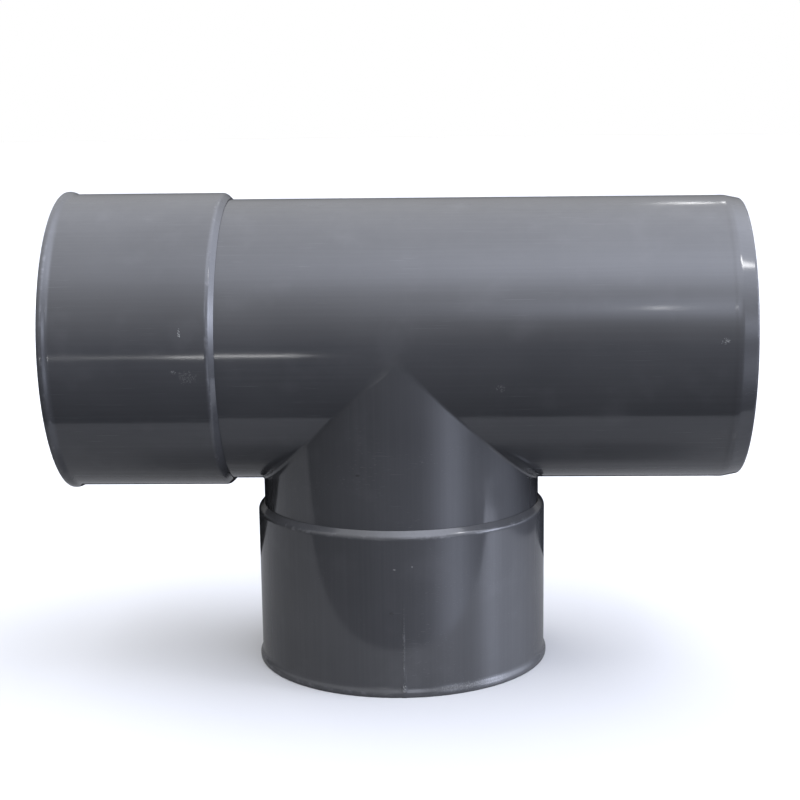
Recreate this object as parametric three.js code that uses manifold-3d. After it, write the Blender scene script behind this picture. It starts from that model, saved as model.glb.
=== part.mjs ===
// A 110 mm PVC tee with two solvent-cement sockets and one plain spigot end.
//
// The through pipe (the run) lies along X, with its spigot end towards +X and its socket
// towards -X. The branch points down, so the tee stands on the mouth of its branch socket.
// The origin is on the floor, under the crossing of the two axes. Millimetres, +Z up.

import * as THREE from 'three';
import { mergeVertices } from 'three/addons/utils/BufferGeometryUtils.js';
import Module from 'manifold-3d';

// Driving dimensions.
const PIPE_RADIUS = 55;
const PIPE_WALL = 2.7;
const SPIGOT_REACH = 132.5; // branch axis to the end of the spigot
const RUN_SHOULDER = 65.1; // branch axis to the start of the run socket's shoulder
const BRANCH_SHOULDER = 64.1; // run axis to the start of the branch socket's shoulder
const SOCKET_LENGTH = 64.6; // start of the shoulder to the mouth
const SOCKET_WALL = 2.25;
const SOCKET_CLEARANCE = 0.25; // on the radius, between a pipe and its socket
const JOINT_LAP = 14; // how far a pipe reaches into its own socket, from the shoulder
const LIP_FLARE = 1; // how far the mouth's lip stands out from the socket
const LIP_LENGTH = 3.6;
const LIP_ROUND = 0.8;
const LEAD_IN_DEPTH = 2; // the bevel inside a socket's mouth
const LEAD_IN_RISE = 1;
const SPIGOT_TAPER = 6; // length of the tapered end of the spigot
const SPIGOT_FALL = 1.2; // how much smaller the radius is at the end of the taper
const SPIGOT_ROUND = 0.8;
const CEMENT_GAP = 0.04; // keeps the cement's faces off the faces it joins
const CEMENT_BEAD = 1; // the cement squeezed out against the end of the pipe
const WELD_WIDTH = 1.4;
const WELD_GAP = 0.3;
const SIDES = 72; // facets round a pipe
const CURVE_STEPS = 3; // facets along each rounded edge

// Derived sizes.
const PIPE_BORE = PIPE_RADIUS - PIPE_WALL;
const SOCKET_BORE = PIPE_RADIUS + SOCKET_CLEARANCE;
const SOCKET_RADIUS = SOCKET_BORE + SOCKET_WALL;
const AXIS_HEIGHT = BRANCH_SHOULDER + SOCKET_LENGTH;
const QUARTER_TURN = Math.PI / 2;

const manifold = await Module();
manifold.setup();

// A ring or a rod turned about the Y axis, from a closed outline. The outline's x is the
// radius and its y the place along the axis, and it runs anticlockwise.
function turned(outline) {
  outline.closePath();
  return new THREE.LatheGeometry(outline.getPoints(CURVE_STEPS), SIDES);
}

// A plain tube or, with a bore of 0, a rod.
function straightTube(bore, radius, start, end) {
  const outline = new THREE.Path();
  outline.moveTo(bore, start);
  outline.lineTo(radius, start);
  outline.lineTo(radius, end);
  outline.lineTo(bore, end);
  return turned(outline);
}

// A closed geometry as a manifold solid, which can be cut.
function toSolid(geometry) {
  const bare = geometry.clone();
  bare.deleteAttribute('normal');
  bare.deleteAttribute('uv');
  const merged = mergeVertices(bare);
  const mesh = new manifold.Mesh({
    numProp: 3,
    vertProperties: merged.attributes.position.array,
    triVerts: new Uint32Array(merged.index.array),
  });
  return new manifold.Manifold(mesh);
}

function toGeometry(solid) {
  const mesh = solid.getMesh();
  const geometry = new THREE.BufferGeometry();
  geometry.setAttribute('position', new THREE.BufferAttribute(mesh.vertProperties, 3));
  geometry.setIndex(new THREE.BufferAttribute(mesh.triVerts, 1));
  geometry.computeVertexNormals();
  return geometry;
}

// The through pipe before it is notched, with its spigot end tapered and rounded.
function runPipe() {
  const endRadius = PIPE_RADIUS - SPIGOT_FALL;
  const roundStart = SPIGOT_REACH - SPIGOT_ROUND;
  const outline = new THREE.Path();
  outline.moveTo(PIPE_BORE, -RUN_SHOULDER - JOINT_LAP);
  outline.lineTo(PIPE_RADIUS, -RUN_SHOULDER - JOINT_LAP);
  outline.lineTo(PIPE_RADIUS, SPIGOT_REACH - SPIGOT_TAPER);
  outline.lineTo(endRadius, roundStart);
  outline.absarc(endRadius - SPIGOT_ROUND, roundStart, SPIGOT_ROUND, 0, QUARTER_TURN);
  outline.lineTo(PIPE_BORE, SPIGOT_REACH);
  return turned(outline).rotateZ(-QUARTER_TURN);
}

// The branch pipe before it is mitred, from the run's axis down to its end in its socket.
function branchPipe() {
  const end = BRANCH_SHOULDER + JOINT_LAP;
  return straightTube(PIPE_BORE, PIPE_RADIUS, 0, end).rotateX(-QUARTER_TURN);
}

// The space below the two 45 degree mitre planes, which are moved out by an offset. Two
// pipes of one radius meet exactly in those planes.
function mitreWedge(offset) {
  const top = offset * Math.SQRT2;
  const drop = 2 * PIPE_RADIUS;
  const width = 3 * PIPE_RADIUS;
  const outline = new THREE.Shape([
    new THREE.Vector2(0, top),
    new THREE.Vector2(-drop - top, -drop),
    new THREE.Vector2(drop + top, -drop),
  ]);
  const wedge = new THREE.ExtrudeGeometry(outline, { depth: width, bevelEnabled: false });
  wedge.rotateX(QUARTER_TURN);
  wedge.translate(0, width / 2, 0);
  return toSolid(wedge);
}

// Both pipes as one hollow tee, open where they cross.
function crossedPipes(run, branch) {
  const runBore = straightTube(0, PIPE_BORE, -RUN_SHOULDER, RUN_SHOULDER);
  const branchBore = straightTube(0, PIPE_BORE, 0, BRANCH_SHOULDER);
  return run
    .add(branch)
    .subtract(toSolid(runBore.rotateZ(-QUARTER_TURN)))
    .subtract(toSolid(branchBore.rotateX(-QUARTER_TURN)));
}

// The run barrel, the branch neck and the weld that fills the V-shaped seam between them.
function mitredPieces() {
  const run = toSolid(runPipe());
  const branch = toSolid(branchPipe());
  const weldEdge = WELD_WIDTH / 2;
  const pieceEdge = weldEdge + WELD_GAP;
  const weld = crossedPipes(run, branch)
    .intersect(mitreWedge(weldEdge))
    .subtract(mitreWedge(-weldEdge));
  return {
    barrel: toGeometry(run.subtract(mitreWedge(pieceEdge))),
    neck: toGeometry(branch.intersect(mitreWedge(-pieceEdge))),
    weld: toGeometry(weld),
  };
}

// A socket sleeve, from the start of its shoulder at 0 to its mouth. The shoulder is a 45
// degree bevel, and the mouth has a flared lip outside and a lead-in bevel inside.
function socketSleeve() {
  const lipStart = SOCKET_LENGTH - LIP_LENGTH;
  const roundStart = SOCKET_LENGTH - LIP_ROUND;
  const crest = SOCKET_RADIUS + LIP_FLARE;
  const outline = new THREE.Path();
  outline.moveTo(SOCKET_BORE, SOCKET_CLEARANCE);
  outline.lineTo(SOCKET_RADIUS, SOCKET_CLEARANCE + SOCKET_WALL);
  outline.lineTo(SOCKET_RADIUS, lipStart);
  outline.quadraticCurveTo(SOCKET_RADIUS, (lipStart + roundStart) / 2, crest, roundStart);
  outline.absarc(crest - LIP_ROUND, roundStart, LIP_ROUND, 0, QUARTER_TURN);
  outline.lineTo(SOCKET_BORE + LEAD_IN_RISE, SOCKET_LENGTH);
  outline.lineTo(SOCKET_BORE, SOCKET_LENGTH - LEAD_IN_DEPTH);
  return turned(outline);
}

// The cement between a pipe and its sleeve, with the bead that was squeezed out inside.
function cementLayer() {
  const inside = PIPE_RADIUS + CEMENT_GAP;
  const outside = SOCKET_BORE - CEMENT_GAP;
  const beadStart = JOINT_LAP + CEMENT_GAP;
  const outline = new THREE.Path();
  outline.moveTo(inside, SOCKET_CLEARANCE);
  outline.lineTo(outside, SOCKET_CLEARANCE);
  outline.lineTo(outside, beadStart + CEMENT_BEAD);
  outline.lineTo(outside - CEMENT_BEAD, beadStart);
  outline.lineTo(inside, beadStart);
  return turned(outline);
}

function greyPvc() {
  return new THREE.MeshStandardMaterial({ color: 0x6f717a, roughness: 0.3, metalness: 0 });
}

function weldPvc() {
  return new THREE.MeshStandardMaterial({ color: 0x686a72, roughness: 0.35, metalness: 0 });
}

function driedCement() {
  return new THREE.MeshStandardMaterial({ color: 0x8d8f8a, roughness: 0.45, metalness: 0 });
}

function piece(name, geometry, material) {
  const mesh = new THREE.Mesh(geometry, material);
  mesh.name = name;
  return mesh;
}

// A sleeve and its cement, in a group whose Y axis points from the shoulder to the mouth.
function socket(name) {
  const group = new THREE.Group();
  group.add(piece(name, socketSleeve(), greyPvc()));
  group.add(piece(`${name}_cement`, cementLayer(), driedCement()));
  return group;
}

function tee() {
  const { barrel, neck, weld } = mitredPieces();
  const runSocket = socket('run_socket');
  runSocket.rotation.z = QUARTER_TURN;
  runSocket.position.x = -RUN_SHOULDER;
  const branchSocket = socket('branch_socket');
  branchSocket.rotation.x = -QUARTER_TURN;
  branchSocket.position.z = -BRANCH_SHOULDER;
  const group = new THREE.Group();
  group.add(piece('run_barrel', barrel, greyPvc()));
  group.add(piece('branch_neck', neck, greyPvc()));
  group.add(piece('branch_weld', weld, weldPvc()));
  group.add(runSocket);
  group.add(branchSocket);
  group.position.z = AXIS_HEIGHT;
  return group;
}

export default tee();
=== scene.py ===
import math

import bmesh
import bpy
from mathutils import Matrix, Vector, noise


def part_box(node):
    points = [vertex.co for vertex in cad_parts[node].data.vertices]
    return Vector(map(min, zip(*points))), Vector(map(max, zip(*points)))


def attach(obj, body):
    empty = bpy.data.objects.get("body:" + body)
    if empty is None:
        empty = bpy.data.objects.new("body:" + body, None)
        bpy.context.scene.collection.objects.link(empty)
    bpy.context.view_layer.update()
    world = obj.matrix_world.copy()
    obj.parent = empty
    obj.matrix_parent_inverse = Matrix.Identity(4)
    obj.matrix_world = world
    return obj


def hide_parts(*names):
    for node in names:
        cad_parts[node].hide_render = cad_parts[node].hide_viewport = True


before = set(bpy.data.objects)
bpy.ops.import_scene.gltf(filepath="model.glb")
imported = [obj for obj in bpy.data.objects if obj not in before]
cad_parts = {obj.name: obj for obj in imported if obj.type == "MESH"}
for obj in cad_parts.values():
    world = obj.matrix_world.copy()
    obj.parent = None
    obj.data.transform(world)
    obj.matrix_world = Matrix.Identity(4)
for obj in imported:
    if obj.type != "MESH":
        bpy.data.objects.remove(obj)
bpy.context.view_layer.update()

# ---------------------------------------------------------------------------------------
# Sizes, in metres. What the frame holds is read from it.
# ---------------------------------------------------------------------------------------

MM = 0.001

BARREL_LOW, BARREL_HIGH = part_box("run_barrel")
NECK_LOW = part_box("branch_neck")[0]
RUN_SOCKET_LOW, RUN_SOCKET_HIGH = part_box("run_socket")
BRANCH_SOCKET_LOW, BRANCH_SOCKET_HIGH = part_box("branch_socket")

PIPE_RADIUS = (BARREL_HIGH[1] - BARREL_LOW[1]) / 2
AXIS_HEIGHT = (BARREL_HIGH[2] + BARREL_LOW[2]) / 2
SPIGOT_END = BARREL_HIGH[0]
RUN_LAP_END = -BARREL_LOW[0]
BRANCH_LAP_END = AXIS_HEIGHT - NECK_LOW[2]
LIP_RADIUS = (RUN_SOCKET_HIGH[1] - RUN_SOCKET_LOW[1]) / 2
RUN_SHOULDER = -RUN_SOCKET_HIGH[0]
RUN_MOUTH = -RUN_SOCKET_LOW[0]
BRANCH_SHOULDER = AXIS_HEIGHT - BRANCH_SOCKET_HIGH[2]
BRANCH_MOUTH = AXIS_HEIGHT - BRANCH_SOCKET_LOW[2]

# What the boxes don't show, as it is in the CAD, and the ridge and the lip's fine shape.
PIPE_WALL = 2.7 * MM
SOCKET_CLEARANCE = 0.25 * MM
LIP_FLARE = 1.0 * MM
LIP_LENGTH = 3.6 * MM
LIP_CREST = 1.6 * MM
LIP_LEAN = 0.1 * MM
LEAD_IN_DEPTH = 2.0 * MM
LEAD_IN_RISE = 1.0 * MM
SPIGOT_TAPER = 6.0 * MM
SPIGOT_FALL = 1.2 * MM
RIDGE_HEIGHT = 0.07 * MM
RIDGE_START = 3.0 * MM
RIDGE_CREST = 1.6 * MM

# How far the weld reaches from the mitre, underneath and at the two tips, and the share of
# the way to a tip at which it starts to widen.
SEAM_REACH = 1.0 * MM
TIP_REACH = 3.5 * MM
TIP_START = 0.8

CEMENT_GAP = 0.04 * MM
CEMENT_BEAD = 1.0 * MM
CEMENT_RECESS = 1.2 * MM

# How much wider the bead is all round, where it sags and where it ripples, as shares of its
# width, and how closely the sags and the ripples follow each other.
BEAD_WIDENING = 0.12
SAG_WIDENING = 1.32
RIPPLE_WIDENING = 0.42
SAGS_AROUND = 4
RIPPLES_AROUND = 17

PIPE_BORE = PIPE_RADIUS - PIPE_WALL
SOCKET_BORE = PIPE_RADIUS + SOCKET_CLEARANCE
SOCKET_RADIUS = LIP_RADIUS - LIP_FLARE
SOCKET_WALL = SOCKET_RADIUS - SOCKET_BORE

# The branch socket's mould line: where it is round the branch, its size, and how deep under
# the socket's outside the points still move with it.
MOULD_LINE_ANGLE = math.radians(-90 + 2.6)
MOULD_LINE_ACROSS = SOCKET_RADIUS * math.cos(MOULD_LINE_ANGLE)
MOULD_LINE_START = BRANCH_MOUTH - 38 * MM
MOULD_LINE_HEIGHT = 0.09 * MM
MOULD_LINE_HALF = 0.6 * MM
MOULD_LINE_FADE = 15 * MM
NUB_HEIGHT = 0.25 * MM
NUB_LENGTH = 5.0 * MM
NUB_RISE = 1.0 * MM
SKIN_DEPTH = 0.1 * MM

# How finely the surfaces are divided.
AROUND = 288
NOTCH_STEPS = 72
WELD_STEPS = 8
MOULD_LINE_STEPS = 8
CORNER_STEPS = 6
PIPE_PARTS = 18
SUPPORT = 0.12 * MM
LONGEST_FACE = 8 * MM

# An edge that turns further than this is sharp, and one that turns within the range is part
# of a rounded corner.
SHARP_ANGLE = math.radians(50)
ROUNDED_TURN = (math.radians(4), math.radians(30))
SAME_POINT = 0.001 * MM
SAME_ANGLE = 1e-9


# ---------------------------------------------------------------------------------------
# Mesh building
# ---------------------------------------------------------------------------------------

def smooth(value, low, high):
    """0 at low and 1 at high, with a smooth rise; low can be the larger of the two."""
    share = min(1.0, max(0.0, (value - low) / (high - low)))
    return share * share * (3 - 2 * share)


def bend(start, corner, end, steps):
    """Points on the curve from start to end that a corner pulls, both ends included."""
    points = []
    for step in range(steps + 1):
        t = step / steps
        points.append(start * (1 - t) ** 2 + corner * 2 * t * (1 - t) + end * t ** 2)
    return points


def rounded(corners):
    """A closed outline through corners given as (radius, along, rounding).

    Beside each curve lies one more point, which keeps the shading of the long faces flat,
    and the long faces are divided.
    """
    points = []
    for index, (radius, along, size) in enumerate(corners):
        corner = Vector((radius, along))
        before = Vector(corners[index - 1][:2])
        after_radius, after_along, after_size = corners[(index + 1) % len(corners)]
        after = Vector((after_radius, after_along))
        to_before = (before - corner).normalized()
        to_after = (after - corner).normalized()
        if (before - corner).length > 2 * (size + SUPPORT):
            points.append(corner + to_before * (size + SUPPORT))
        points += bend(corner + to_before * size, corner, corner + to_after * size, CORNER_STEPS)
        if (after - corner).length > 2 * (size + SUPPORT):
            start = corner + to_after * (size + SUPPORT)
            end = after - to_after * (after_size + SUPPORT)
            parts = max(1, math.ceil((end - start).length / LONGEST_FACE))
            points += [start.lerp(end, part / parts) for part in range(parts)]
    return points


def on_run(radius, along, angle):
    """A point around the run's axis; the angle is 0 underneath and grows towards +Y."""
    return Vector((along, radius * math.sin(angle), AXIS_HEIGHT - radius * math.cos(angle)))


def on_run_left(radius, along, angle):
    """As on_run, for a length measured towards -X."""
    return on_run(radius, -along, angle)


def on_branch(radius, along, angle):
    """A point around the branch's axis, a length down from the run's axis."""
    return Vector((radius * math.cos(angle), radius * math.sin(angle), AXIS_HEIGHT - along))


def loop_faces(loops, size, closed=lambda loop: True):
    """Quads between neighbouring loops of points, the last loop joined to the first.

    closed(loop) says whether a loop has the quad from its last point to its first.
    """
    faces = []
    for loop in range(loops):
        after = (loop + 1) % loops
        for column in range(size if closed(loop) else size - 1):
            beside = (column + 1) % size
            faces.append((
                loop * size + column,
                loop * size + beside,
                after * size + beside,
                after * size + column,
            ))
    return faces


def mark_edges(shape):
    """Gives each point a "wear" value: 1 on rounded outer edges, 0 on faces and sharp cuts."""
    wear = shape.verts.layers.float.new("wear")
    for vert in shape.verts:
        turn = max(edge.calc_face_angle_signed(0) for edge in vert.link_edges)
        vert[wear] = 1.0 if ROUNDED_TURN[0] < turn < ROUNDED_TURN[1] else 0.0


def add_piece(name, vertices, faces, material):
    """A smooth mesh object, its doubled points merged and its faces turned outwards."""
    mesh = bpy.data.meshes.new(name)
    mesh.from_pydata(vertices, [], faces)

    shape = bmesh.new()
    shape.from_mesh(mesh)
    bmesh.ops.remove_doubles(shape, verts=shape.verts, dist=SAME_POINT)
    bmesh.ops.recalc_face_normals(shape, faces=shape.faces)
    mark_edges(shape)
    for face in shape.faces:
        face.smooth = True
    shape.to_mesh(mesh)
    shape.free()

    mesh.set_sharp_from_angle(angle=SHARP_ANGLE)
    mesh.materials.append(material)
    piece = bpy.data.objects.new(name, mesh)
    bpy.context.scene.collection.objects.link(piece)
    return piece


def even_angles():
    return [2 * math.pi * step / AROUND for step in range(AROUND)]


def no_shift(point, angle):
    return Vector((0, 0))


def turned(name, outline, place, material, angles, shift=no_shift):
    """A ring: the outline carried round an axis, with shift(point, angle) added to its points."""
    vertices = []
    for angle in angles:
        for point in outline:
            moved = point + shift(point, angle)
            vertices.append(place(moved[0], moved[1], angle))
    return add_piece(name, vertices, loop_faces(len(angles), len(outline)), material)


# ---------------------------------------------------------------------------------------
# Materials. Every pattern is in the object's own coordinates, in metres.
# ---------------------------------------------------------------------------------------

PVC_IOR = 1.55
PVC_ROUGHNESS = 0.085
RAGGED_SIZE = 1.2 * MM
RAGGEDNESS = 1.6
SOFT_EDGE = 0.6

# Linear colours.
GREY = (0.078, 0.079, 0.083, 1)
DEEP_GREY = (0.070, 0.071, 0.075, 1)
RUBBED = (0.27, 0.27, 0.28, 1)
CHALK = (0.50, 0.50, 0.48, 1)
# The tint of settled dust and of a painted sheen on upward faces.
DUST_AND_SHEEN = (0.26, 0.25, 0.23, 1)
GRIME = (0.020, 0.019, 0.018, 1)
CEMENT_DARK = (0.20, 0.20, 0.19, 1)
CEMENT_PALE = (0.33, 0.32, 0.28, 1)

# How the pattern is drawn out along each axis, by the way the plastic flowed.
MOULDED = (3, 3, 3)
ALONG_RUN = (60, 1, 1)
ALONG_BRANCH = (1, 1, 60)


def feed(tree, socket, value):
    """Gives an input a value, or joins it to another node's output."""
    if isinstance(value, bpy.types.NodeSocket):
        tree.links.new(value, socket)
    else:
        socket.default_value = value


def add_node(tree, kind, inputs=None, **settings):
    """A new shader node, with its settings made and its inputs fed."""
    made = tree.nodes.new("ShaderNode" + kind)
    for key, value in settings.items():
        setattr(made, key, value)
    for key, value in (inputs or {}).items():
        feed(tree, made.inputs[key], value)
    return made


class Surface:
    """A material being put together round its Principled shader."""

    def __init__(self, name):
        self.material = bpy.data.materials.new(name)
        self.material.use_nodes = True
        self.tree = self.material.node_tree
        self.shader = self.tree.nodes["Principled BSDF"]
        self.shader.inputs["IOR"].default_value = PVC_IOR
        self.place = self.node("TexCoord").outputs["Object"]
        ragged = self.node("TexNoise", {"Vector": self.place, "Scale": 1 / RAGGED_SIZE})
        centred = {0: ragged.outputs["Color"], 1: (0.5, 0.5, 0.5)}
        self.ragged = self.node("VectorMath", centred, operation="SUBTRACT").outputs[0]

    def node(self, kind, inputs=None, **settings):
        return add_node(self.tree, kind, inputs, **settings)

    def math(self, operation, first, second):
        return self.node("Math", {0: first, 1: second}, operation=operation).outputs[0]

    def times(self, first, second):
        return self.math("MULTIPLY", first, second)

    def total(self, values):
        result = values[0]
        for value in values[1:]:
            result = self.math("ADD", result, value)
        return result

    def stretched(self, stretch, turn=(0, 0, 0)):
        """The object's coordinates, in which a pattern is drawn out along each axis."""
        scale = tuple(1 / factor for factor in stretch)
        return self.node("Mapping", {"Vector": self.place, "Scale": scale, "Rotation": turn}).outputs[0]

    def noise(self, size, stretch=(1, 1, 1), turn=(0, 0, 0), detail=3.0):
        """Soft patches about size across, from 0 to 1."""
        inputs = {"Vector": self.stretched(stretch, turn), "Scale": 1 / size, "Detail": detail}
        return self.node("TexNoise", inputs).outputs["Fac"]

    def between(self, value, low, high):
        """0 at low and 1 at high, with a smooth rise; low can be the larger of the two."""
        inputs = {"Value": value, "From Min": low, "From Max": high}
        return self.node("MapRange", inputs, interpolation_type="SMOOTHSTEP").outputs[0]

    def specks(self, spacing, share, size):
        """Small round dots in a share of the cells of a pattern of that spacing."""
        cells = self.node("TexVoronoi", {"Vector": self.place, "Scale": 1 / spacing})
        chosen = self.between(cells.outputs["Color"], 1 - share, 1 - share + 0.02)
        reach = size / spacing / 2
        dot = self.between(cells.outputs["Distance"], reach, reach * SOFT_EDGE)
        return self.times(chosen, dot)

    def near(self, point, reach):
        """A ragged patch round a point, 1 in the middle and 0 beyond its (x, y, z) reach."""
        offset = self.node("VectorMath", {0: self.place, 1: point}, operation="SUBTRACT").outputs[0]
        share = self.node("VectorMath", {0: offset, 1: reach}, operation="DIVIDE").outputs[0]
        inputs = {0: self.ragged, 1: (RAGGEDNESS,) * 3, 2: share}
        moved = self.node("VectorMath", inputs, operation="MULTIPLY_ADD").outputs[0]
        distance = self.node("VectorMath", {0: moved}, operation="LENGTH").outputs["Value"]
        return self.between(distance, 1.0, SOFT_EDGE)

    def blend(self, amount, first, second):
        """The first colour, turning into the second as amount goes from 0 to 1."""
        mixed = self.node("Mix", data_type="RGBA")
        for key, value in {"Factor": amount, "A": first, "B": second}.items():
            in_use = next(each for each in mixed.inputs if each.name == key and each.enabled)
            feed(self.tree, in_use, value)
        return next(each for each in mixed.outputs if each.enabled)

    def finish(self, colour, roughness, height):
        """Joins the results to the shader; the height is in metres."""
        bump = self.node("Bump", {"Height": height, "Distance": 1.0, "Strength": 1.0})
        self.tree.links.new(colour, self.shader.inputs["Base Color"])
        self.tree.links.new(roughness, self.shader.inputs["Roughness"])
        self.tree.links.new(bump.outputs[0], self.shader.inputs["Normal"])
        return self.material


def grey_pvc(name, drawn, chalk_marks=(), dark_marks=(), ripple=0.0, dull=0.0):
    """Extruded or moulded grey PVC, lightly handled.

    drawn is how far the fine pattern is stretched along each axis. A chalk mark is (point,
    reach, strength), and a dark mark is (point, reach). ripple is the height of the waves
    left by a weld, and dull is the roughness left by dressing it.
    """
    surface = Surface(name)
    times = surface.times

    mottle = surface.between(surface.noise(38 * MM), 0.3, 0.7)
    flow = surface.noise(1.1 * MM, drawn)
    streaks = surface.noise(7 * MM, drawn)
    peel = surface.noise(0.8 * MM, detail=1.0)

    handled = surface.between(surface.noise(16 * MM, detail=4.0), 0.52, 0.75)
    scratched = surface.between(surface.noise(22 * MM), 0.50, 0.62)
    lines = []
    for turn in ((0.5, 0.3, 0.4), (-0.3, 0.9, 1.2)):
        line = surface.noise(0.35 * MM, (50, 1, 1), turn, detail=0.0)
        lines.append(surface.between(line, 0.76, 0.82))
    scratches = times(surface.total(lines), scratched)
    grains = surface.between(surface.noise(0.45 * MM, detail=1.0), 0.45, 0.60)

    edges = surface.node("Attribute", attribute_name="wear").outputs["Fac"]
    worn = times(edges, surface.between(surface.noise(3.5 * MM, detail=3.0), 0.50, 0.80))
    upward = surface.node("SeparateXYZ", {0: surface.node("NewGeometry").outputs["Normal"]}).outputs["Z"]
    # Dust and a painted sheen: faces that look upwards turn lighter, warmer and rougher, in patches.
    dust_and_sheen = times(surface.between(upward, 0.3, 1.0), surface.noise(5 * MM))
    dots = surface.specks(3.6 * MM, 0.06, 0.26 * MM)
    flecks = surface.specks(13 * MM, 0.08, 0.5 * MM)
    marks = [times(times(surface.near(point, reach), grains), strength)
             for point, reach, strength in chalk_marks]
    chalk = surface.total([dots] + marks)
    dark = surface.total([flecks] + [surface.near(*mark) for mark in dark_marks])

    colour = surface.blend(mottle, DEEP_GREY, GREY)
    for layer, strength, tint in (
        (surface.between(flow, 0.35, 0.75), 0.025, RUBBED),
        (handled, 0.05, RUBBED),
        # Dust and painted sheen on upward faces.
        (dust_and_sheen, 0.08, DUST_AND_SHEEN),
        (scratches, 0.12, RUBBED),
        (worn, 0.30, RUBBED),
        (chalk, 0.40, CHALK),
        (dark, 0.80, GRIME),
    ):
        colour = surface.blend(times(layer, strength), colour, tint)

    roughness = surface.total([
        times(mottle, 0.02),
        times(streaks, 0.02),
        times(handled, 0.05),
        times(dust_and_sheen, 0.08),
        times(scratches, 0.10),
        times(worn, 0.12),
        times(chalk, 0.35),
        times(dark, 0.25),
        PVC_ROUGHNESS + dull,
    ])
    height = surface.total([
        times(flow, 0.0003 * MM),
        times(streaks, 0.0012 * MM),
        times(peel, 0.0005 * MM),
        times(scratches, -0.001 * MM),
        times(surface.noise(2.2 * MM, detail=1.0), ripple),
    ])
    return surface.finish(colour, roughness, height)


def dried_cement():
    """Solvent cement that ran out of the joint and dried: glossy, uneven, with small bubbles."""
    surface = Surface("dried_cement")
    times = surface.times
    body = surface.between(surface.noise(6 * MM, detail=5.0), 0.35, 0.65)
    brushed = surface.noise(0.9 * MM, (1, 1, 6))
    bubbles = surface.specks(1.6 * MM, 0.35, 0.5 * MM)
    colour = surface.blend(body, CEMENT_DARK, CEMENT_PALE)
    colour = surface.blend(times(bubbles, 0.6), colour, CHALK)
    roughness = surface.total([times(body, 0.12), times(brushed, 0.10), times(bubbles, 0.1), 0.10])
    height = surface.total([
        times(body, 0.06 * MM),
        times(brushed, 0.03 * MM),
        times(bubbles, -0.05 * MM),
    ])
    return surface.finish(colour, roughness, height)


# ---------------------------------------------------------------------------------------
# The mitred pipes and the weld between them
# ---------------------------------------------------------------------------------------

NOTCH_TIP = math.acos(-TIP_REACH / PIPE_RADIUS)


def seam_reach(share):
    """How far the weld reaches from the mitre, at a share of the way from below to a tip."""
    return SEAM_REACH + (TIP_REACH - SEAM_REACH) * smooth(share, TIP_START, 1.0)


def notch_edge(radius, angle):
    """How far the notch's edge is from the branch's axis, at an angle round the run."""
    cosine = math.cos(angle)
    reach = PIPE_RADIUS * cosine + seam_reach(abs(angle) / NOTCH_TIP)
    return max(0.0, reach) - (PIPE_RADIUS - radius) * max(0.0, cosine)


def run_angles():
    """Angles round the run, with one exactly at each tip of the notch."""
    notch = [NOTCH_TIP * step / NOTCH_STEPS for step in range(-NOTCH_STEPS, NOTCH_STEPS + 1)]
    above = AROUND - 2 * NOTCH_STEPS
    rest = [NOTCH_TIP + (2 * math.pi - 2 * NOTCH_TIP) * step / above for step in range(1, above)]
    return notch + rest


def pipe_line(radius, start, end):
    """Points along a pipe's wall, without the last."""
    step = (end - start) / PIPE_PARTS
    return [Vector((radius, start + step * part)) for part in range(PIPE_PARTS)]


def pipe_section(outer_edge, inner_edge, end):
    """A pipe wall's outline: from its cut edge, round its far end, back inside to the cut."""
    outside = pipe_line(PIPE_RADIUS, outer_edge, end[0][1])
    inside = pipe_line(PIPE_BORE, inner_edge, end[-1][1])
    return outside + end + inside[::-1]


def far_end(corners):
    """The rounded corners of a pipe's end, from (radius, along, rounding) corners."""
    end = max(along for radius, along, size in corners)
    cut = [(PIPE_BORE, 0, 0), (PIPE_RADIUS, 0, 0)]
    shaped = SPIGOT_TAPER + RIDGE_START + 1 * MM
    return [point for point in rounded(cut + corners) if point[1] > end - shaped]


def barrel_half(side, end):
    """Vertices and faces of the barrel on one side of the branch: side is 1 or -1."""
    angles = run_angles()
    vertices = []
    for angle in angles:
        outer = side * notch_edge(PIPE_RADIUS, angle)
        inner = side * notch_edge(PIPE_BORE, angle)
        section = pipe_section(outer, inner, end)
        vertices += [on_run(radius, along, angle) for radius, along in section]

    def has_cut_face(loop):
        both = (angles[loop], angles[(loop + 1) % len(angles)])
        return all(abs(angle) <= NOTCH_TIP + SAME_ANGLE for angle in both)

    return vertices, loop_faces(len(angles), len(section), has_cut_face)


def run_barrel(material):
    """The barrel. Its spigot end tapers, and a faint ridge lies just before the taper."""
    fold = SPIGOT_END - SPIGOT_TAPER
    spigot = far_end([
        (PIPE_RADIUS, fold - RIDGE_START, 0.5 * MM),
        (PIPE_RADIUS + RIDGE_HEIGHT, fold - RIDGE_CREST, 0.5 * MM),
        (PIPE_RADIUS, fold, 0.6 * MM),
        (PIPE_RADIUS - SPIGOT_FALL, SPIGOT_END, 0.9 * MM),
        (PIPE_BORE, SPIGOT_END, 0.2 * MM),
    ])
    in_socket = far_end([
        (PIPE_RADIUS, RUN_LAP_END, 0.4 * MM),
        (PIPE_BORE, RUN_LAP_END, 0.2 * MM),
    ])
    in_socket = [Vector((radius, -along)) for radius, along in in_socket]
    right, right_faces = barrel_half(1, spigot)
    left, left_faces = barrel_half(-1, in_socket)
    faces = right_faces + [tuple(len(right) + v for v in face) for face in left_faces]
    return add_piece("barrel", right + left, faces, material)


def neck_top(radius, angle):
    """How far below the run's axis the neck's mitred top is, at an angle round the branch."""
    share = math.asin(min(1.0, abs(math.sin(angle)))) / (math.pi / 2)
    return radius * abs(math.cos(angle)) + seam_reach(share)


def branch_neck(material):
    bottom = far_end([
        (PIPE_RADIUS, BRANCH_LAP_END, 0.4 * MM),
        (PIPE_BORE, BRANCH_LAP_END, 0.2 * MM),
    ])
    vertices = []
    for angle in even_angles():
        section = pipe_section(neck_top(PIPE_RADIUS, angle), neck_top(PIPE_BORE, angle), bottom)
        vertices += [on_branch(radius, along, angle) for radius, along in section]
    return add_piece("neck", vertices, loop_faces(AROUND, len(section)), material)


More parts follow.
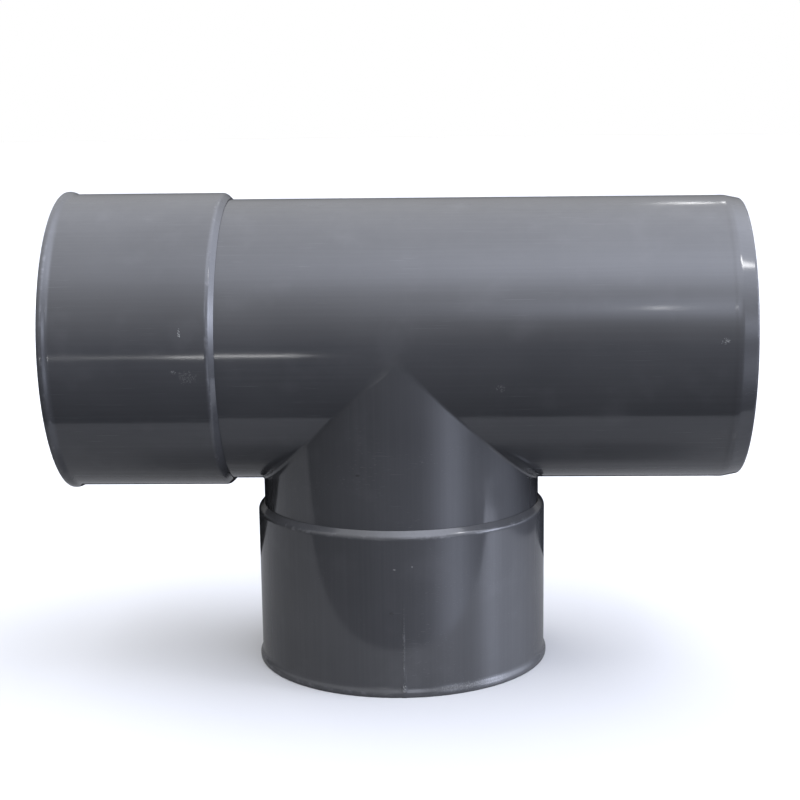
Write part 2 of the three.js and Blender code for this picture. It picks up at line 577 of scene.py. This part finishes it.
def weld_section(side, share):
    """The weld's cross-section, at a share of the way from underneath to one of its tips."""
    run_angle = NOTCH_TIP * share
    neck_angle = math.pi / 2 * share
    middle = (run_angle + neck_angle) / 2
    sections = []
    for radius, steps in ((PIPE_RADIUS, WELD_STEPS), (PIPE_BORE, WELD_STEPS // 2)):
        on_barrel = on_run(radius, side * notch_edge(radius, run_angle), run_angle)
        reach = radius * math.cos(neck_angle)
        across = radius * math.sin(neck_angle)
        on_neck = Vector((side * reach, across, AXIS_HEIGHT - reach - seam_reach(abs(share))))
        reach = radius * max(0.0, math.cos(middle))
        corner = Vector((side * reach, radius * math.sin(middle), AXIS_HEIGHT - reach))
        sections.append(bend(on_barrel, corner, on_neck, steps))
    return sections[0] + sections[1][::-1]


def branch_weld(material):
    steps = NOTCH_STEPS
    loops = [weld_section(1, step / steps) for step in range(-steps, steps + 1)]
    loops += [weld_section(-1, step / steps) for step in range(steps - 1, -steps, -1)]
    vertices = [point for loop in loops for point in loop]
    return add_piece("weld", vertices, loop_faces(len(loops), len(loops[0])), material)


# ---------------------------------------------------------------------------------------
# The sockets and their cement
# ---------------------------------------------------------------------------------------

def sleeve_outline(shoulder, mouth):
    """A sleeve's wall: a bevelled shoulder, a flared lip and a lead-in bevel in the mouth."""
    return rounded([
        (SOCKET_BORE, shoulder, 0.03 * MM),
        (SOCKET_RADIUS, shoulder + SOCKET_WALL, 1.0 * MM),
        (SOCKET_RADIUS, mouth - LIP_LENGTH, 0.9 * MM),
        (LIP_RADIUS, mouth - LIP_CREST, 0.7 * MM),
        (LIP_RADIUS - LIP_LEAN, mouth, 0.5 * MM),
        (SOCKET_BORE + LEAD_IN_RISE, mouth, 0.3 * MM),
        (SOCKET_BORE, mouth - LEAD_IN_DEPTH, 0.6 * MM),
    ])


def past_mould_line(angle):
    """How far an angle is from the mould line, less than half a turn either way."""
    return (angle - MOULD_LINE_ANGLE + math.pi) % (2 * math.pi) - math.pi


def mould_line_angles():
    """Even angles, with close ones where the mould line stands up."""
    reach = 2 * MOULD_LINE_HALF / SOCKET_RADIUS
    middle = MOULD_LINE_ANGLE % (2 * math.pi)
    plain = [angle for angle in even_angles() if abs(past_mould_line(angle)) > reach * 1.2]
    steps = range(-MOULD_LINE_STEPS, MOULD_LINE_STEPS + 1)
    close = [middle + reach * step / MOULD_LINE_STEPS for step in steps]
    return sorted(plain + close)


def mould_line(point, angle):
    """The branch socket's mould line: a faint ridge that ends in a nub on the lip."""
    radius, along = point
    if radius < SOCKET_RADIUS - SKIN_DEPTH:
        return Vector((0, 0))
    across = abs(past_mould_line(angle)) * SOCKET_RADIUS
    ridge = MOULD_LINE_HEIGHT * smooth(across, MOULD_LINE_HALF, 0)
    ridge *= smooth(along, MOULD_LINE_START, MOULD_LINE_START + MOULD_LINE_FADE)
    nub_start = BRANCH_MOUTH - NUB_LENGTH
    nub = NUB_HEIGHT * smooth(across, 2 * MOULD_LINE_HALF, MOULD_LINE_HALF)
    nub *= smooth(along, nub_start, nub_start + NUB_RISE)
    nub *= smooth(radius, LIP_RADIUS + SKIN_DEPTH, LIP_RADIUS - 0.6 * LIP_FLARE)
    return Vector((max(ridge, nub), 0))


def cement_outline(shoulder, lap_end):
    """The thin layer between a pipe and its sleeve, and the bead at the pipe's end."""
    inside = PIPE_RADIUS + CEMENT_GAP
    outside = SOCKET_BORE - CEMENT_GAP
    start = shoulder + CEMENT_RECESS
    return rounded([
        (inside, start, 0.01 * MM),
        (outside, start, 0.01 * MM),
        (outside, lap_end + CEMENT_BEAD, 0.05 * MM),
        (outside - CEMENT_BEAD, lap_end + CEMENT_GAP, 0.05 * MM),
        (inside, lap_end + CEMENT_GAP, 0.01 * MM),
    ])


def bead_shift(lap_end):
    """A shift that makes the bead of cement wider in some places, as it sagged before it dried."""
    def shift(point, angle):
        ring = Vector((math.cos(angle), math.sin(angle), lap_end / PIPE_RADIUS))
        sags = max(0.0, noise.noise(ring * SAGS_AROUND))
        ripples = noise.noise(ring * RIPPLES_AROUND)
        widening = BEAD_WIDENING + SAG_WIDENING * sags + RIPPLE_WIDENING * ripples
        past_end = max(0.0, point[1] - lap_end - CEMENT_GAP)
        return Vector((0, past_end * widening))
    return shift


def front_of_run(along, height, radius):
    """A point on the run's front, at a height above its axis."""
    return Vector((along, -math.sqrt(radius ** 2 - height ** 2), AXIS_HEIGHT + height))


def front_of_branch(across, height, radius):
    """A point on the branch's front, at a height above the floor."""
    return Vector((across, -math.sqrt(radius ** 2 - across ** 2), height))


run_sleeve_pvc = grey_pvc("run_sleeve_pvc", ALONG_RUN, chalk_marks=[
    (front_of_run(-77.5 * MM, 10 * MM, SOCKET_RADIUS), (0.55 * MM, 1.5 * MM, 2.2 * MM), 2.0),
    (front_of_run(-80 * MM, -4 * MM, SOCKET_RADIUS), (1.2 * MM, 1.5 * MM, 1.0 * MM), 0.5),
    (front_of_run(-75 * MM, -6 * MM, SOCKET_RADIUS), (4.0 * MM, 2.0 * MM, 3.0 * MM), 0.3),
])
barrel_pvc = grey_pvc("barrel_pvc", ALONG_RUN, chalk_marks=[
    (front_of_run(39 * MM, -11 * MM, PIPE_RADIUS), (2.0 * MM, 2.0 * MM, 1.6 * MM), 0.35),
    # A small pale, rougher patch on the barrel, near the spigot end.
    (front_of_run(120 * MM, 6 * MM, PIPE_RADIUS), (1.8 * MM, 1.5 * MM, 1.5 * MM), 0.8),
])
neck_pvc = grey_pvc("neck_pvc", ALONG_BRANCH, dark_marks=[
    (front_of_branch(-14 * MM, 85 * MM, PIPE_RADIUS), (0.9 * MM, 1.0 * MM, 0.5 * MM)),
])
branch_sleeve_pvc = grey_pvc("branch_sleeve_pvc", ALONG_BRANCH, chalk_marks=[
    (front_of_branch(-0.5 * MM, 50 * MM, SOCKET_RADIUS), (0.8 * MM, 1.0 * MM, 0.4 * MM), 0.8),
    (front_of_branch(6 * MM, 51 * MM, SOCKET_RADIUS), (0.5 * MM, 1.0 * MM, 0.5 * MM), 0.8),
    (front_of_branch(MOULD_LINE_ACROSS, 20 * MM, SOCKET_RADIUS), (0.5 * MM, 1.0 * MM, 18 * MM), 0.2),
    (front_of_branch(MOULD_LINE_ACROSS, 4 * MM, LIP_RADIUS), (1.0 * MM, 2.0 * MM, 2.2 * MM), 0.8),
    (front_of_branch(30 * MM, 2.5 * MM, LIP_RADIUS), (20 * MM, 16 * MM, 1.8 * MM), 0.25),
], dark_marks=[
    (front_of_branch(-2 * MM, 33 * MM, SOCKET_RADIUS), (0.9 * MM, 1.0 * MM, 0.5 * MM)),
])
weld_pvc = grey_pvc("weld_pvc", MOULDED, ripple=0.004 * MM, dull=0.10)
cement = dried_cement()

PIECES = (
    (run_barrel(barrel_pvc), "run_barrel", "grey_pvc"),
    (branch_neck(neck_pvc), "branch_neck", "grey_pvc"),
    (branch_weld(weld_pvc), "branch_weld", "weld_pvc"),
    (
        turned("run_sleeve", sleeve_outline(RUN_SHOULDER, RUN_MOUTH), on_run_left,
               run_sleeve_pvc, even_angles()),
        "run_socket", "grey_pvc",
    ),
    (
        turned("branch_sleeve", sleeve_outline(BRANCH_SHOULDER, BRANCH_MOUTH), on_branch,
               branch_sleeve_pvc, mould_line_angles(), mould_line),
        "branch_socket", "grey_pvc",
    ),
    (
        turned("run_cement", cement_outline(RUN_SHOULDER, RUN_LAP_END), on_run_left,
               cement, even_angles(), bead_shift(RUN_LAP_END)),
        "run_socket_cement", "cement",
    ),
    (
        turned("branch_cement", cement_outline(BRANCH_SHOULDER, BRANCH_LAP_END), on_branch,
               cement, even_angles(), bead_shift(BRANCH_LAP_END)),
        "branch_socket_cement", "cement",
    ),
)

for piece, cad_node, finish_slot in PIECES:
    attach(piece, "root")
    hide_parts(cad_node)


# ---------------------------------------------------------------------------------------
# Camera, light and floor
# ---------------------------------------------------------------------------------------

# The camera is fitted to the photograph. The sensor and the lens are in millimetres, the
# shift is a share of the frame's width, and the angles are in radians.
SENSOR_WIDTH = 36
LENS = 72.43
LENS_SHIFT = (-0.0261, 0.0625)
CAMERA_PLACE = Vector((0.02739, -0.63272, AXIS_HEIGHT + 0.0886))
TURN_LEFT = 0.0306
TILT_DOWN = 0.2085
ROLL = -0.0107


def add_camera():
    camera_data = bpy.data.cameras.new("camera")
    camera_data.sensor_width = SENSOR_WIDTH
    camera_data.lens = LENS
    camera_data.shift_x, camera_data.shift_y = LENS_SHIFT
    camera = bpy.data.objects.new("camera", camera_data)
    place = Matrix.Translation(CAMERA_PLACE)
    turn = Matrix.Rotation(TURN_LEFT, 4, "Z")
    tilt = Matrix.Rotation(math.pi / 2 - TILT_DOWN, 4, "X")
    roll = Matrix.Rotation(ROLL, 4, "Z")
    camera.matrix_world = place @ turn @ tilt @ roll
    bpy.context.scene.collection.objects.link(camera)
    bpy.context.scene.camera = camera


def softbox(name, place, target, size, brightness, mirrored=True):
    """A rectangular lamp that the camera doesn't see. Its size doesn't change its brightness.

    One that isn't mirrored lights the part and doesn't show in its reflections.
    """
    lamp = bpy.data.lights.new(name, "AREA")
    lamp.shape = "RECTANGLE"
    lamp.size, lamp.size_y = size
    lamp.energy = brightness * math.pi * size[0] * size[1]
    holder = bpy.data.objects.new(name, lamp)
    aim = Vector(target) - Vector(place)
    holder.location = place
    holder.rotation_euler = aim.to_track_quat("-Z", "Y").to_euler()
    holder.visible_camera = False
    holder.visible_glossy = mirrored
    bpy.context.scene.collection.objects.link(holder)


def direction(azimuth, elevation):
    """A unit vector; azimuth is in degrees from +Y towards +X, so the front is at 180."""
    flat = math.cos(math.radians(elevation))
    turn = math.radians(azimuth)
    return Vector((math.sin(turn) * flat, math.cos(turn) * flat, math.sin(math.radians(elevation))))


def add_lamps():
    """Small lamps for the sharpest highlights, and a large one that only lights the back."""
    crossing = Vector((0, 0, AXIS_HEIGHT))
    front_spot = (0.181, -0.66, 0.505)
    softbox("front_spot", front_spot, (0.1, 0, AXIS_HEIGHT), (0.012, 0.03), 12.0)
    softbox("low_strip", (-0.135, -0.6, 0.078), crossing, (0.09, 0.012), 12.0)
    softbox("low_strip_end", (-0.24, -0.6, 0.078), crossing, (0.12, 0.012), 3.0)
    spigot_top = Vector((SPIGOT_END, -0.75 * PIPE_RADIUS, AXIS_HEIGHT + 0.6 * PIPE_RADIUS))
    spigot_spot = spigot_top + 0.35 * direction(125, 60)
    softbox("spigot_spot", spigot_spot, spigot_top, (0.036, 0.064), 18.0)
    back_spot = crossing + Vector((0.312, 1.2, 0.91))
    softbox("back_spot", back_spot, crossing, (0.055, 0.06), 9.0)
    rear_fill = crossing + 1.5 * direction(320, 25)
    softbox("rear_fill", rear_fill, crossing, (1.0, 1.0), 2.7, mirrored=False)


DAYLIGHT = (0.93, 1.0, 1.23)
TOP_LIGHT = 1.36

# Glowing windows: azimuth and elevation in degrees, how narrow, and how bright.
WINDOWS = (
    (100, 60, 5, 2.0),
    (85, 15, 14, 2.6),
    (160, 60, 16, 1.6),
    (170, 30, 90, 1.7),
    (104, 13, 60, 6.4),
    (140, 13, 90, 2.2),
    (136, -15, 30, 1.3),
    (300, 45, 16, 1.2),
    (55, 45, 16, 0.8),
)


def add_world():
    """Soft light: white and stronger towards the top, with bluer windows in some directions."""
    world = bpy.data.worlds.new("world")
    world.use_nodes = True
    tree = world.node_tree

    def node(kind, inputs=None, **settings):
        return add_node(tree, kind, inputs, **settings).outputs

    def glow(azimuth, elevation, narrowness, brightness):
        towards = {0: seen, 1: direction(azimuth, elevation)}
        facing = node("VectorMath", towards, operation="DOT_PRODUCT")["Value"]
        facing = node("Math", {0: facing, 1: 0.0}, operation="MAXIMUM")[0]
        facing = node("Math", {0: facing, 1: narrowness}, operation="POWER")[0]
        return node("Math", {0: facing, 1: brightness}, operation="MULTIPLY")[0]

    seen = node("TexCoord")["Generated"]
    height = node("SeparateXYZ", {0: seen})["Z"]
    above = node("Math", {0: height, 1: 0.0}, operation="MAXIMUM")[0]
    ceiling = node("Math", {0: above, 1: TOP_LIGHT}, operation="MULTIPLY")[0]
    windows = 0.0
    for window in WINDOWS:
        windows = node("Math", {0: windows, 1: glow(*window)}, operation="ADD")[0]
    white = node("Background", {"Color": (1, 1, 1, 1), "Strength": ceiling})[0]
    blue = node("Background", {"Color": (*DAYLIGHT, 1), "Strength": windows})[0]
    both = node("AddShader", {0: white, 1: blue})[0]
    tree.links.new(both, tree.nodes["World Output"].inputs["Surface"])
    bpy.context.scene.world = world


def stage_mesh(name, vertices, faces, colour, roughness=0.8, specular=0.0, glow=0.0):
    """A piece of the studio, which isn't part of the object."""
    mesh = bpy.data.meshes.new(name)
    mesh.from_pydata(vertices, [], faces)
    material = bpy.data.materials.new(name)
    material.use_nodes = True
    shader = material.node_tree.nodes["Principled BSDF"]
    shader.inputs["Base Color"].default_value = colour
    shader.inputs["Roughness"].default_value = roughness
    shader.inputs["Specular IOR Level"].default_value = specular
    shader.inputs["Emission Color"].default_value = (1, 1, 1, 1)
    shader.inputs["Emission Strength"].default_value = glow
    mesh.materials.append(material)
    thing = bpy.data.objects.new(name, mesh)
    bpy.context.scene.collection.objects.link(thing)
    return thing


def keep_out_of_the_light(thing):
    """Only the camera sees it, so it neither lights nor shades the part."""
    thing.visible_diffuse = False
    thing.visible_glossy = False
    thing.visible_transmission = False
    thing.visible_shadow = False


STAGE_RADIUS = 12.0
STAGE_CORNERS = 64
WALL_FOOT = 1.0
FLOOR_WHITE = (0.62, 0.62, 0.62, 1)
BACKDROP_GLOW = 1.0
SHELF_GREY = (0.19, 0.19, 0.19, 1)
SHELF_OUTLINE = ((-0.70, -0.115), (0.33, -0.115), (0.20, 0.14), (-0.70, 0.14))


def add_stage():
    """A pale round floor, a pale wall far away at its edge, and a grey shelf under the part.

    The shelf lies just under the floor. The camera doesn't see it, but the part reflects
    it, and the dark beyond its edges.
    """
    ring = [Vector((STAGE_RADIUS * math.cos(angle), STAGE_RADIUS * math.sin(angle), 0))
            for angle in (2 * math.pi * step / STAGE_CORNERS for step in range(STAGE_CORNERS))]
    floor = stage_mesh("floor", ring, [tuple(range(STAGE_CORNERS))], FLOOR_WHITE)
    low = [point - Vector((0, 0, WALL_FOOT)) for point in ring]
    high = [point + Vector((0, 0, STAGE_RADIUS)) for point in ring]
    wall = []
    for step in range(STAGE_CORNERS):
        after = (step + 1) % STAGE_CORNERS
        wall.append((step, after, STAGE_CORNERS + after, STAGE_CORNERS + step))
    lid = tuple(range(STAGE_CORNERS, 2 * STAGE_CORNERS))
    backdrop = stage_mesh("backdrop", low + high, wall + [lid], (0, 0, 0, 1), glow=BACKDROP_GLOW)
    keep_out_of_the_light(floor)
    keep_out_of_the_light(backdrop)
    corners = [Vector((x, y, -MM)) for x, y in SHELF_OUTLINE]
    shelf = stage_mesh("shelf", corners, [(0, 1, 2, 3)], SHELF_GREY, roughness=0.25, specular=1.0)
    shelf.visible_camera = False


add_camera()
add_world()
add_lamps()
add_stage()

bpy.context.scene.view_settings.view_transform = "Standard"
